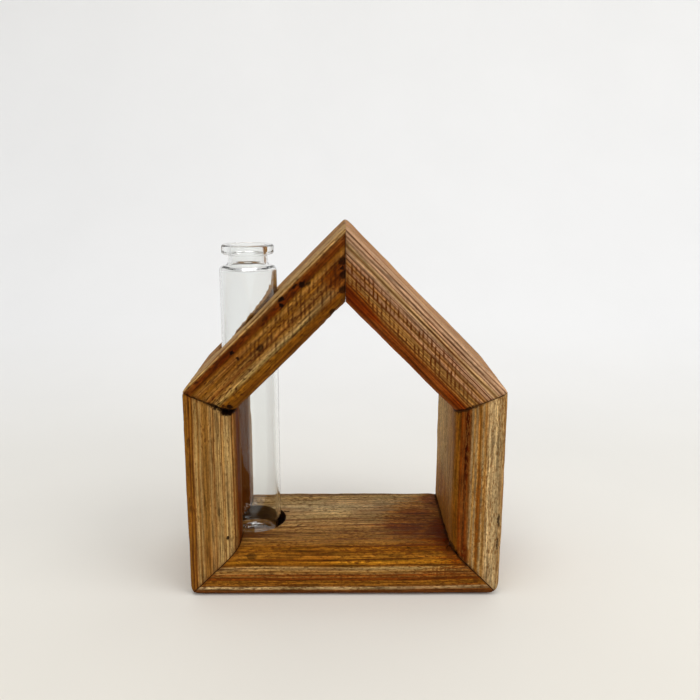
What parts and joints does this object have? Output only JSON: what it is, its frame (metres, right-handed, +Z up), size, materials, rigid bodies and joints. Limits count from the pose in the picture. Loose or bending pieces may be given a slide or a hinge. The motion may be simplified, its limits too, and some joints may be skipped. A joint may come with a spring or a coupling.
{
  "type": "bud vase",
  "caption": "House-shaped open frame of mitred wooden boards that holds an upright clear glass vial as a bud vase.",
  "frame": {"origin": "middle of the underside of the base board, on the surface it stands on", "axes": "+Z up, +X to the right seen from the front, +Y to the back"},
  "size_m": [0.119, 0.058, 0.1399],
  "materials": {
    "sill_wood": "waxed",
    "left_post_wood": "waxed",
    "right_post_wood": "waxed",
    "left_rafter_wood": "waxed",
    "right_rafter_wood": "waxed",
    "clear_glass": "clear",
    "brad_steel": "bright drawn wire"
  },
  "bodies": {
    "frame": {"sill": "sill_wood", "left_post": "left_post_wood", "right_post": "right_post_wood", "left_rafter": "left_rafter_wood", "right_rafter": "right_rafter_wood", "left_base_brads": "brad_steel", "right_base_brads": "brad_steel", "left_eave_brads": "brad_steel", "right_eave_brads": "brad_steel", "ridge_brads": "brad_steel"},
    "vial": {"glass_vial": "clear_glass"}
  },
  "joints": [
    {"name": "vial_lift", "type": "slide", "parent": "frame", "child": "vial", "axis": [0, 0, 1], "range_m": [0, 0.11]}
  ]
}
